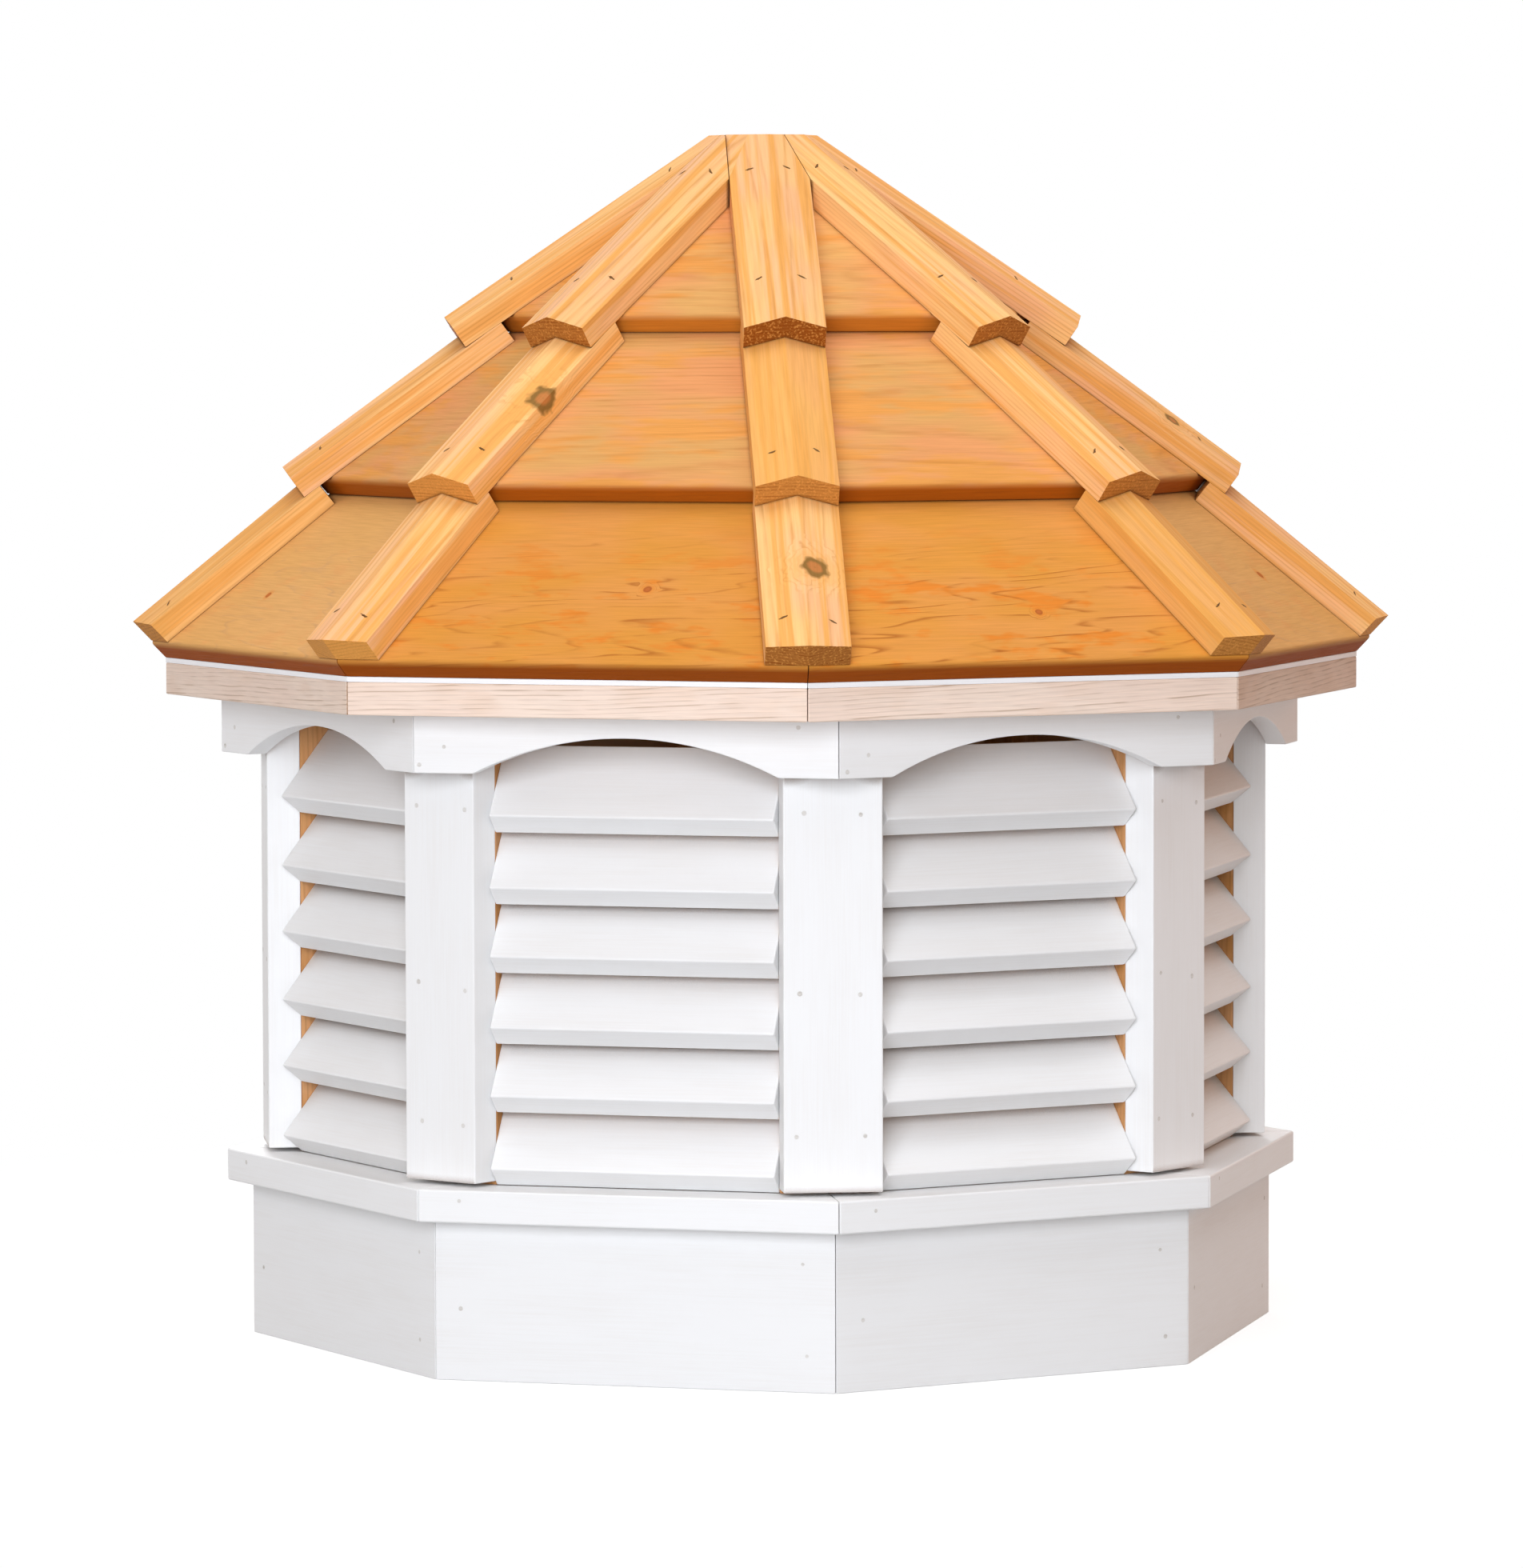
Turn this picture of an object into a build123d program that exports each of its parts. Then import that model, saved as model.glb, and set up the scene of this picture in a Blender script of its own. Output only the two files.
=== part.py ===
"""Eight-sided louvred roof cupola with a stepped cedar roof and chevron hip caps.

Millimetres, +Z up. The origin is at the centre of the bottom of the skirt.
Bay 1 faces +X and the others follow anticlockwise every 45 degrees, so flats face +X and +Y.
The roof unit sits on the body turned a few degrees clockwise, as built.
"""
import os
from math import asin, atan, atan2, cos, hypot, radians, sin, tan

from build123d import *

os.makedirs("parts", exist_ok=True)

# ---------------------------------------------------------------- driving dimensions
sides = 8
half_bay = radians(180 / sides)
bay_step = 360 / sides
saw_gap = 0.6  # hairline left at a mitre between two boards

skirt_apothem = 433.7
skirt_height = 139.7
board_thick = 19.0

sill_apothem = 455.0
sill_width = 89.0
plank_thick = 28.6

post_face_radius = 457.0
post_width = 86.0
post_thick = 30.0
post_gap = 3.5  # the post stops short of the sill
# Corners whose post and stud were ripped narrower: clockwise and anticlockwise edges of the post.
narrow_corners = {4: (-43.0, 36.5), 5: (-43.0, 35.0), 7: (-37.0, 43.0)}
stud_depth = 63.5
cleat_width = 56.0
cleat_depth = 48.0

# Heights of the slats above the lowest one, set by eye and marked alike in every bay.
louvre_rises = (0.0, 63.2, 122.8, 184.5, 244.2, 306.6)
louvre_slope = radians(51)
louvre_width = 76.2
louvre_thick = 25.4
louvre_nose = 428.0

plate_bottom = 580.0
plate_apothem = 503.3
plate_width = 140.0
drip_height = 4.6
drip_width = 25.0

valance_drop = 51.0
arch_span = 272.0
arch_rise = 32.0

roof_turn = -3.5  # degrees, the roof unit against the body
panel_thick = 19.0
panel_overlap = 20.0
panel_round = 4.0
middle_edge = (378.8, 776.0)  # top edge of the middle course's nosing: apothem, height
upper_edge = (226.3, 922.5)
upper_slope = radians(36.4)
tip_apothem = 25.0  # the upper boards' tips are cut off here
apex_height = 1085.0  # the caps are sawn off level here

cap_width = 72.3
cap_ridge = 24.2
cap_fall = 11.8  # from the ridge down to the top of a side
cap_end_back = 2.0
middle_cap_foot = 423.5  # plan radius of the lower end, where it leaves the panels
upper_cap_foot = 276.8
whole_sided_corner = 6  # the upper cap that was set first

rafter_width = 38.0
rafter_depth = 64.0
kingpost_apothem = 50.0
kingpost_length = 150.0

# ---------------------------------------------------------------- worked out from them
body_top = skirt_height + plank_thick
plate_top = plate_bottom + plank_thick
drip_top = plate_top + drip_height
skirt_inside = skirt_apothem - board_thick
stud_face_radius = post_face_radius - post_thick
stud_bevel = stud_depth * tan(half_bay)
valance_inside = post_face_radius * cos(half_bay) + post_width / 2 * sin(half_bay)
valance_bottom = plate_bottom - valance_drop
reach = 800.0
corner_turn = bay_step / 2


def end_corner(edge, slope, thick):
    """The lower corner of a board's square end, from the end's top corner."""
    return (edge[0] - thick * sin(slope), edge[1] - thick * cos(slope))


def up_slope(edge, slope, length):
    """The point that far up a slope from an edge, towards the middle."""
    return (edge[0] - length * cos(slope), edge[1] + length * sin(slope))


def slope_between(low, high):
    """Slope of the line from a low point to a high point nearer the middle."""
    return atan2(high[1] - low[1], low[0] - high[0])


def hip_point(edge):
    """A point of a bay's section carried along the eave to the hip: plan radius, height."""
    return (edge[0] / cos(half_bay), edge[1])


# Each course's upper end lies under the course above, touching its underside.
upper_foot = end_corner(upper_edge, upper_slope, panel_thick)
middle_head = up_slope(upper_foot, upper_slope, panel_overlap)
middle_slope = slope_between(middle_edge, middle_head)
middle_foot = end_corner(middle_edge, middle_slope, panel_thick)
lower_head = up_slope(middle_foot, middle_slope, panel_overlap)
lower_foot = (plate_apothem, drip_top)
lower_chord = hypot(lower_foot[0] - lower_head[0], lower_head[1] - lower_foot[1])
lower_slope = slope_between(lower_foot, lower_head) - asin(panel_thick / lower_chord)
lower_edge = end_corner(lower_foot, lower_slope, -panel_thick)
upper_head = (tip_apothem, upper_edge[1] + (upper_edge[0] - tip_apothem) * tan(upper_slope))

# The hip rafter's ridge runs from under the lower course's head to the kingpost.
kingpost_radius = kingpost_apothem / cos(half_bay)
kingpost_top = upper_foot[1] + (upper_foot[0] - kingpost_radius) * tan(upper_slope)
rafter_low = hip_point(end_corner(lower_head, lower_slope, panel_thick))
rafter_high = (kingpost_apothem, kingpost_top)
rafter_slope = slope_between(rafter_low, rafter_high)
rafter_toe = (plate_apothem - drip_width) / cos(half_bay) - rafter_width / 2 * tan(half_bay)

# ---------------------------------------------------------------- a one-bay cutting solid
with BuildPart() as bay_wedge:
    wedge_start = saw_gap / 2 / sin(half_bay)
    with BuildSketch():
        with BuildLine():
            Polyline(
                (wedge_start, 0),
                (wedge_start + reach, -reach * tan(half_bay)),
                (wedge_start + reach, reach * tan(half_bay)),
                close=True,
            )
        make_face()
    extrude(amount=2 * reach)


def write(piece, name):
    """Label a finished piece and write its STEP file."""
    piece.label = name
    export_step(piece, f"parts/{name}.step")


def eight_times(board, turn=0.0):
    """The board repeated round the axis."""
    with BuildPart() as ring:
        with PolarLocations(0, sides, start_angle=turn):
            add(board)
    return ring.part


def mitred_board(section, round_corner=None):
    """One bay's board from its closed section of (apothem, height) points, mitred both ends."""
    with BuildPart() as board:
        with BuildSketch(Plane.XZ):
            with BuildLine():
                Polyline(*section, close=True)
            make_face()
            if round_corner:
                outermost = vertices().sort_by(Axis.X)[-1]
                fillet(outermost, radius=round_corner)
        extrude(amount=reach / 2, both=True)
        add(bay_wedge.part, mode=Mode.INTERSECT)
    return board.part


def flat_section(apothem, width, bottom, height):
    """A plank's section: its outer face at an apothem, its width inward, its bottom and height."""
    inner = apothem - width
    top = bottom + height
    return [(inner, bottom), (apothem, bottom), (apothem, top), (inner, top)]


def sloped_section(edge, head, slope):
    """A roof board's section, with square ends, from its top edge to the head of its top face."""
    return [edge, head, end_corner(head, slope, panel_thick), end_corner(edge, slope, panel_thick)]


# ---------------------------------------------------------------- skirt and sill
skirt_board = mitred_board(flat_section(skirt_apothem, board_thick, 0, skirt_height))
for bay in range(sides):
    with BuildPart() as skirt_panel:
        add(skirt_board, rotation=(0, 0, bay * bay_step))
    write(skirt_panel.part, f"skirt_panel_{bay + 1}")

with BuildPart() as cleat:
    corner_radius = skirt_inside / cos(half_bay)
    side_radius = corner_radius - cleat_width / 2 * tan(half_bay)
    with BuildSketch():
        with BuildLine():
            Polyline(
                (corner_radius, 0),
                (side_radius, cleat_width / 2),
                (corner_radius - cleat_depth, cleat_width / 2),
                (corner_radius - cleat_depth, -cleat_width / 2),
                (side_radius, -cleat_width / 2),
                close=True,
            )
        make_face()
    extrude(amount=skirt_height)
with BuildPart() as corner_cleats:
    add(eight_times(cleat.part, corner_turn))
write(corner_cleats.part, "corner_cleats")

with BuildPart() as sill_boards:
    add(eight_times(mitred_board(flat_section(sill_apothem, sill_width, skirt_height, plank_thick))))
write(sill_boards.part, "sill_boards")

# ---------------------------------------------------------------- corner posts and studs
def corner_edges(corner):
    """How far a corner's post reaches to either side of the corner line, anticlockwise positive."""
    return narrow_corners.get(corner % sides, (-post_width / 2, post_width / 2))


# A stud is as wide as the post in front of it, with its sides bevelled square to the two bays.
with BuildPart() as corner_studs:
    for corner in range(sides):
        low_edge, high_edge = corner_edges(corner)
        with BuildPart(mode=Mode.PRIVATE) as stud:
            with BuildSketch(Plane.XY.offset(body_top)):
                with BuildLine():
                    Polyline(
                        (stud_face_radius, low_edge),
                        (stud_face_radius, high_edge),
                        (stud_face_radius - stud_depth, high_edge - stud_bevel),
                        (stud_face_radius - stud_depth, low_edge + stud_bevel),
                        close=True,
                    )
                make_face()
            extrude(amount=plate_bottom - body_top)
        add(stud.part, rotation=(0, 0, corner * bay_step + corner_turn))
write(corner_studs.part, "corner_studs")

post_start = body_top + post_gap
for corner in range(sides):
    low_edge, high_edge = corner_edges(corner)
    with BuildPart() as post_board:
        with BuildSketch(Plane.XY.offset(post_start)):
            with Locations((post_face_radius - post_thick / 2, (low_edge + high_edge) / 2)):
                Rectangle(post_thick, high_edge - low_edge)
        extrude(amount=plate_bottom - post_start)
    with BuildPart() as corner_post:
        add(post_board.part, rotation=(0, 0, corner * bay_step + corner_turn))
    write(corner_post.part, f"corner_post_{corner + 1}")

# ---------------------------------------------------------------- louvres
nose_height = body_top + louvre_thick * cos(louvre_slope)


def stud_side(edge):
    """Distance of a stud's bevelled side from the middle of the bay that it faces."""
    return stud_face_radius * sin(half_bay) - edge * cos(half_bay)


for bay in range(sides):
    # The slats' square ends bear on the studs at both sides of the bay.
    clockwise_reach = stud_side(corner_edges(bay - 1)[1])
    anticlockwise_reach = stud_side(-corner_edges(bay)[0])
    with BuildPart() as slats:
        for rise in louvre_rises:
            nose = (louvre_nose, nose_height + rise)
            head = up_slope(nose, louvre_slope, louvre_width)
            head_under = end_corner(head, louvre_slope, louvre_thick)
            nose_under = end_corner(nose, louvre_slope, louvre_thick)
            with BuildSketch(Plane.XZ.offset(-anticlockwise_reach)):
                with BuildLine():
                    Polyline(nose, head, head_under, nose_under, close=True)
                make_face()
            extrude(amount=clockwise_reach + anticlockwise_reach)
    with BuildPart() as louvre_bank:
        add(slats.part, rotation=(0, 0, bay * bay_step))
    write(louvre_bank.part, f"louvre_bank_{bay + 1}")

# ---------------------------------------------------------------- valance
with BuildPart() as valance_board:
    with BuildSketch(Plane.YZ.offset(valance_inside)):
        with Locations((0, plate_bottom - valance_drop / 2)):
            Rectangle(reach, valance_drop)
        with BuildLine():
            arch_ends = [(-arch_span / 2, valance_bottom), (arch_span / 2, valance_bottom)]
            Line(*arch_ends)
            ThreePointArc(arch_ends[0], (0, valance_bottom + arch_rise), arch_ends[1])
        make_face(mode=Mode.SUBTRACT)
    extrude(amount=board_thick)
    add(bay_wedge.part, mode=Mode.INTERSECT)
for bay in range(sides):
    with BuildPart() as valance:
        add(valance_board.part, rotation=(0, 0, bay * bay_step))
    write(valance.part, f"valance_{bay + 1}")

# ---------------------------------------------------------------- eave plate and drip edge
with BuildPart() as eave_plate:
    plate_section = flat_section(plate_apothem, plate_width, plate_bottom, plank_thick)
    add(eight_times(mitred_board(plate_section), roof_turn))
write(eave_plate.part, "eave_plate")

with BuildPart() as drip_edge:
    drip_section = flat_section(plate_apothem, drip_width, plate_top, drip_height)
    add(eight_times(mitred_board(drip_section), roof_turn))
write(drip_edge.part, "drip_edge")

# ---------------------------------------------------------------- roof boards
courses = {
    "lower": (lower_edge, lower_head, lower_slope),
    "middle": (middle_edge, middle_head, middle_slope),
    "upper": (upper_edge, upper_head, upper_slope),
}
for course_name, (edge, head, slope) in courses.items():
    course_board = mitred_board(sloped_section(edge, head, slope), panel_round)
    with BuildPart() as course:
        add(eight_times(course_board, roof_turn))
    write(course.part, f"{course_name}_roof_boards")

# ---------------------------------------------------------------- hip rafters and kingpost
with BuildPart() as kingpost:
    with BuildSketch(Plane.XY.offset(kingpost_top - kingpost_length)):
        RegularPolygon(kingpost_radius, sides, rotation=roof_turn)
    extrude(amount=kingpost_length)
write(kingpost.part, "kingpost")


def hip_slope(slope):
    """Slope of the hip between two bays that rise at this slope."""
    return atan(tan(slope) * cos(half_bay))


def hip_bevel(slope):
    """Fall of a bay's surface beside its hip, per unit of width square to the hip."""
    along = hip_slope(slope)
    return sin(slope) * sin(half_bay) / (sin(slope) * cos(half_bay) * sin(along) + cos(slope) * cos(along))


def across_hip(radius, height, slope):
    """A plane square to a hip line over +X: x across the hip, y away from the roof."""
    return Plane(origin=(radius, 0, height), x_dir=(0, 1, 0), z_dir=(cos(slope), 0, -sin(slope)))


with BuildPart() as rafter:
    half_rafter = rafter_width / 2
    rafter_fall = half_rafter * hip_bevel(atan(tan(rafter_slope) / cos(half_bay)))
    with BuildSketch(across_hip(*rafter_high, rafter_slope).offset(-rafter_depth)):
        with BuildLine():
            Polyline(
                (0, 0),
                (half_rafter, -rafter_fall),
                (half_rafter, -rafter_depth),
                (-half_rafter, -rafter_depth),
                (-half_rafter, -rafter_fall),
                close=True,
            )
        make_face()
    extrude(amount=reach)
    split(bisect_by=Plane.YZ.offset(kingpost_apothem), keep=Keep.TOP)
    split(bisect_by=Plane.YZ.offset(rafter_toe), keep=Keep.BOTTOM)
    split(bisect_by=Plane.XY.offset(plate_top), keep=Keep.TOP)
with BuildPart() as hip_rafters:
    add(eight_times(rafter.part, roof_turn + corner_turn))
write(hip_rafters.part, "hip_rafters")

# ---------------------------------------------------------------- hip caps


def cap_blank(edge, slope, foot_radius, head_radius):
    """A square-ended chevron cap lying on a course's hip over +X, between two plan radii."""
    along = hip_slope(slope)
    edge_radius, edge_height = hip_point(edge)
    head_height = edge_height + (edge_radius - head_radius) * tan(along)
    half_cap = cap_width / 2
    groove_fall = half_cap * hip_bevel(slope)
    with BuildPart() as blank:
        with BuildSketch(across_hip(head_radius, head_height, along)):
            with BuildLine():
                Polyline(
                    (0, 0),
                    (half_cap, -groove_fall),
                    (half_cap, cap_ridge - cap_fall),
                    (0, cap_ridge),
                    (-half_cap, cap_ridge - cap_fall),
                    (-half_cap, -groove_fall),
                    close=True,
                )
            make_face()
        extrude(amount=(foot_radius - head_radius) / cos(along))
    return blank.part


def head_against(nosing, edge, slope):
    """Plan radius of a cap's square head, which butts on the top edge of the nosing above."""
    along = hip_slope(slope)
    edge_radius, edge_height = hip_point(edge)
    nosing_radius, nosing_height = hip_point(nosing)
    rise = nosing_height - edge_height - (edge_radius - nosing_radius) * tan(along)
    return nosing_radius - rise * sin(along) * cos(along)


def mitre_face(turn, side):
    """The upright mitre over a radius at this turn, facing the cap on that side of it."""
    facing = (-side * sin(radians(turn)), side * cos(radians(turn)), 0)
    return Plane(origin=(-facing[0] * saw_gap / 2, -facing[1] * saw_gap / 2, 0), z_dir=facing)


# The upper caps meet like slices at the apex and are sawn off level. One was set first and runs
# on whole past its mitre on one side, and the cap beside it there is cut to fit against it.
with BuildPart() as upper_cap:
    add(cap_blank(upper_edge, upper_slope, upper_cap_foot, 0))
    split(bisect_by=Plane.XY.offset(apex_height), keep=Keep.BOTTOM)
with BuildPart() as mitred_cap:
    add(upper_cap.part)
    add(bay_wedge.part, mode=Mode.INTERSECT)
with BuildPart() as whole_sided_cap:
    add(upper_cap.part)
    split(bisect_by=mitre_face(corner_turn, 1), keep=Keep.BOTTOM)
    split(bisect_by=mitre_face(-corner_turn - bay_step, -1), keep=Keep.BOTTOM)
with BuildPart() as fitted_cap:
    add(mitred_cap.part)
    split(
        bisect_by=Plane.XZ.rotated((0, 0, bay_step)).offset(cap_width / 2 + saw_gap),
        keep=Keep.TOP,
    )
with BuildPart() as upper_hip_caps:
    for corner in range(sides):
        cap = {whole_sided_corner: whole_sided_cap, whole_sided_corner - 1: fitted_cap}.get(corner, mitred_cap)
        add(cap.part, rotation=(0, 0, roof_turn + corner_turn + corner * bay_step))
write(upper_hip_caps.part, "upper_hip_caps")

# The head of each cap below is planed to tuck under the cap above.
with BuildPart() as middle_cap:
    head = head_against(upper_edge, middle_edge, middle_slope)
    add(cap_blank(middle_edge, middle_slope, middle_cap_foot, head))
    add(upper_cap.part, mode=Mode.SUBTRACT)
with BuildPart() as middle_hip_caps:
    add(eight_times(middle_cap.part, roof_turn + corner_turn))
write(middle_hip_caps.part, "middle_hip_caps")

# The lower caps end in two facets, in line with the nosings of the two bays.
with BuildPart() as lower_cap:
    head = head_against(middle_edge, lower_edge, lower_slope)
    add(cap_blank(lower_edge, lower_slope, hip_point(lower_edge)[0] + cap_width, head))
    add(middle_cap.part, mode=Mode.SUBTRACT)
    for side in (-1, 1):
        facet_apothem = lower_edge[0] - cap_end_back
        facet = Plane(
            origin=(facet_apothem * cos(half_bay), side * facet_apothem * sin(half_bay), lower_edge[1]),
            z_dir=(
                cos(lower_slope) * cos(half_bay),
                side * cos(lower_slope) * sin(half_bay),
                -sin(lower_slope),
            ),
        )
        split(bisect_by=facet, keep=Keep.BOTTOM)
with BuildPart() as lower_hip_caps:
    add(eight_times(lower_cap.part, roof_turn + corner_turn))
write(lower_hip_caps.part, "lower_hip_caps")
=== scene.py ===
"""An eight-sided louvred roof cupola, dressed for the studio.

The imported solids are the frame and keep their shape; this script gives them their finishes, adds
the nails and staples, and sets up the floor, lamps and camera. Metres, +Z up, the frame's axes.
Bay 1 faces +X and the bays follow anticlockwise; the roof unit is turned a few degrees clockwise.
"""
import logging
import random
from dataclasses import dataclass, replace
from enum import Enum
from itertools import product
from math import atan, cos, pi, radians, sin, tan

import bmesh
import bpy
from mathutils import Matrix, Vector


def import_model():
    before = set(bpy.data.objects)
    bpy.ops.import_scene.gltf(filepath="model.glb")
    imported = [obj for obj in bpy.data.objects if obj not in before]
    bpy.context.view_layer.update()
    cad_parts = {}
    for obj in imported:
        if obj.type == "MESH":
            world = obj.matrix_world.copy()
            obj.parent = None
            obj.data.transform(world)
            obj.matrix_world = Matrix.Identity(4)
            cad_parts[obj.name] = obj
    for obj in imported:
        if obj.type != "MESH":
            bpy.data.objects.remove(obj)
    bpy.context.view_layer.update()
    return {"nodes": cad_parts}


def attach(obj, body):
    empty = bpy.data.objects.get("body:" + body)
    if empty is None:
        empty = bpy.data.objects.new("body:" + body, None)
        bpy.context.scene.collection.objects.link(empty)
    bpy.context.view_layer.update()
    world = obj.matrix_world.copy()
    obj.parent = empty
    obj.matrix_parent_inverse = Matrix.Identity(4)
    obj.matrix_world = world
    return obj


LOG = logging.getLogger("cupola")
MM = 0.001
SIDES = 8
STEP = 2 * pi / SIDES
HALF_BAY = STEP / 2
# Slope of an upright face.
PLUMB = pi / 2
ROOF_TURN = radians(-3.5)
# How far apart the boards' noises are drawn, so that no two boards look alike.
NOISE_SPREAD = 40.0
OPENNESS_SAMPLES = 4
WOOD_IOR = 1.5
# Points nearer than this are one, faces within the next angle are one, and edges sharper
# than the last are eased.
SAME_POINT = 0.01 * MM
SAME_FACE = radians(1.5)
SHARP_EDGE = radians(20)

Socket = bpy.types.NodeSocket
Node = bpy.types.Node
Tree = bpy.types.NodeTree
Section = tuple[tuple[float, float], ...]


def linear(colour: str) -> tuple[float, float, float, float]:
    """Turn an sRGB hex colour to linear light.

    Args:
        colour: Six hex digits.

    Returns:
        Red, green, blue and alpha, as shader sockets take them.
    """
    channels = []
    for start in (0, 2, 4):
        value = int(colour[start:start + 2], 16) / 255
        channels.append(value / 12.92 if value <= 0.04045 else ((value + 0.055) / 1.055) ** 2.4)
    return (channels[0], channels[1], channels[2], 1.0)


def add_node(
    tree: Tree, kind: str, inputs: list | tuple | dict = (), **settings: object
) -> Node:
    """Add a shader node, set its properties, and fill or link its inputs.

    Args:
        tree: The node tree to add to.
        kind: The node's type without its common beginning.
        inputs: Values, sRGB hex colours, sockets or nodes (whose first output is meant), as a
            row in the order of the node's inputs or by name.
        settings: Properties of the node itself.

    Returns:
        The new node.
    """
    made = tree.nodes.new(f"ShaderNode{kind}")
    for name, value in settings.items():
        setattr(made, name, value)
    pairs = inputs.items() if isinstance(inputs, dict) else enumerate(inputs)
    for key, value in pairs:
        source = value.outputs[0] if isinstance(value, Node) else value
        if isinstance(source, Socket):
            tree.links.new(source, made.inputs[key])
        else:
            made.inputs[key].default_value = linear(source) if isinstance(source, str) else source
    return made


def set_stops(ramp: Node, stops: list[tuple[float, float | str]]) -> Node:
    """Set a colour ramp's stops.

    Args:
        ramp: The colour ramp.
        stops: Position of each stop in order, with its grey level or its sRGB hex colour.

    Returns:
        The same ramp.
    """
    elements = ramp.color_ramp.elements
    while len(elements) < len(stops):
        elements.new(0.5)
    for element, (position, shade) in zip(elements, stops):
        element.position = position
        element.color = linear(shade) if isinstance(shade, str) else (shade, shade, shade, 1.0)
    return ramp


def new_material(name: str) -> tuple[bpy.types.Material, Tree, Node]:
    """Make a material with nodes.

    Args:
        name: Of the material.

    Returns:
        The material, its tree and its shader.
    """
    made = bpy.data.materials.new(name)
    made.use_nodes = True
    return made, made.node_tree, made.node_tree.nodes["Principled BSDF"]


def connect(tree: Tree, shader: Node, sources: dict[str, Node]) -> None:
    """Link nodes to a shader's inputs by name."""
    for name, source in sources.items():
        tree.links.new(source.outputs[0], shader.inputs[name])


@dataclass(frozen=True)
class ShadeAndDirt:
    """Painted shade on a surface where something stands close over it, and dirt too in the wood's
    joints.

    Attributes:
        colour: Its colour.
        reach: How near the other surface has to be.
        begins: Open share of the view from the surface at which it begins.
        full: Open share at which it is strongest.
        strength: Share of the surface's own colour that it then takes.
        own_node: Whether only boards of the same node count.
    """

    colour: str
    reach: float
    begins: float
    full: float
    strength: float
    own_node: bool = False

    def lay(self, tree: Tree, surface: Node, share: Node | None = None) -> Node:
        """Lay the painted shade over a surface's colour.

        Args:
            tree: The material's tree.
            surface: The surface's colour.
            share: How much of it is laid here, or nothing for all of it.

        Returns:
            The colour with the painted shade on it.
        """
        sky = add_node(
            tree, "AmbientOcclusion",
            {"Distance": self.reach},
            samples=OPENNESS_SAMPLES, only_local=self.own_node,
        )
        amount = add_node(
            tree, "MapRange", [sky.outputs["AO"], self.begins, self.full, 0.0, self.strength]
        )
        if share is not None:
            amount = add_node(tree, "Math", [amount, share], operation="MULTIPLY")
        return add_node(tree, "MixRGB", [amount, surface, self.colour])


class Lie(Enum):
    """Which way a board's length runs: the order of its axes among (outward, round, up)."""

    ROUND = ("Y", "X", "Z")
    UPRIGHT = ("Z", "Y", "X")
    DOWN = ("X", "Y", "Z")


@dataclass(frozen=True)
class Board:
    """What a finish can ask of the board under it, as nodes of one tree.

    Attributes:
        tree: The material's tree.
        point: The point in board space, as (along, across, depth).
        facing: The surface's facing in the same space.
        chance: A random colour for each board.
        apart: An offset into the noises for each board.
    """

    tree: Tree
    point: Node
    facing: Node
    chance: Socket
    apart: Node

    def streaks(self, along: float, across: float, detail: float, **inputs: float) -> Node:
        """Add a noise that is drawn out along the board.

        Args:
            along: Marks in a metre along the board.
            across: Marks in a metre across the board and down into it.
            detail: How much finer noise is in it.
            inputs: Other inputs of the noise.

        Returns:
            The noise.
        """
        scale = (along, across, across)
        place = add_node(
            self.tree, "Mapping", {"Vector": self.point, "Location": self.apart, "Scale": scale}
        )
        return add_node(
            self.tree, "TexNoise", {"Vector": place, "Scale": 1.0, "Detail": detail, **inputs}
        )


@dataclass(frozen=True)
class BoardSpace:
    """How a ring of eight like boards lies, so that a finish can follow every board.

    Attributes:
        first: Bearing of the first board's middle.
        slope: Fall of the boards' faces outward.
        lie: Which way their length runs.
        corner: Apothem and height of the top outer corner of their section, from which the
            distances across and down into a board are measured.
    """

    first: float
    slope: float
    lie: Lie
    corner: tuple[float, float] = (0.0, 0.0)

    def board(self, tree: Tree, seed: float) -> Board:
        """Add nodes that turn the object's space to a board's own, and draw its chances.

        Args:
            tree: The material's tree.
            seed: Makes the draws unlike another finish's.

        Returns:
            The board.
        """
        place = add_node(tree, "TexCoord").outputs["Object"]
        facing = add_node(tree, "NewGeometry").outputs["Normal"]
        parts = add_node(tree, "SeparateXYZ", [place]).outputs
        bearing = add_node(tree, "Math", [parts["Y"], parts["X"]], operation="ARCTAN2")
        count = add_node(
            tree, "Math", [bearing, 1 / STEP, -self.first / STEP], operation="MULTIPLY_ADD"
        )
        nearest = add_node(tree, "Math", [count], operation="ROUND")
        number = add_node(tree, "Math", [nearest, float(SIDES)], operation="FLOORED_MODULO")
        back = add_node(tree, "Math", [number, -STEP, -self.first], operation="MULTIPLY_ADD")
        out, up = self.corner
        run, rise = cos(self.slope), sin(self.slope)
        nosing = (out * run - up * rise, 0.0, out * rise + up * run)
        found = []
        for vector, start in ((place, nosing), (facing, (0.0, 0.0, 0.0))):
            for angle, axis in ((back, "Z_AXIS"), (-self.slope, "Y_AXIS")):
                vector = add_node(
                    tree, "VectorRotate", {"Vector": vector, "Angle": angle}, rotation_type=axis
                )
            moved = add_node(tree, "VectorMath", [vector, start], operation="SUBTRACT")
            axes = add_node(tree, "SeparateXYZ", [moved]).outputs
            ordered = {slot: axes[axis] for slot, axis in enumerate(self.lie.value)}
            found.append(add_node(tree, "CombineXYZ", ordered))
        tag = add_node(tree, "Math", [number, seed], operation="ADD")
        chance = add_node(tree, "TexWhiteNoise", {"W": tag}, noise_dimensions="1D").outputs["Color"]
        apart = add_node(tree, "VectorMath", {0: chance, "Scale": NOISE_SPREAD}, operation="SCALE")
        return Board(tree, found[0], found[1], chance, apart)


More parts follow.
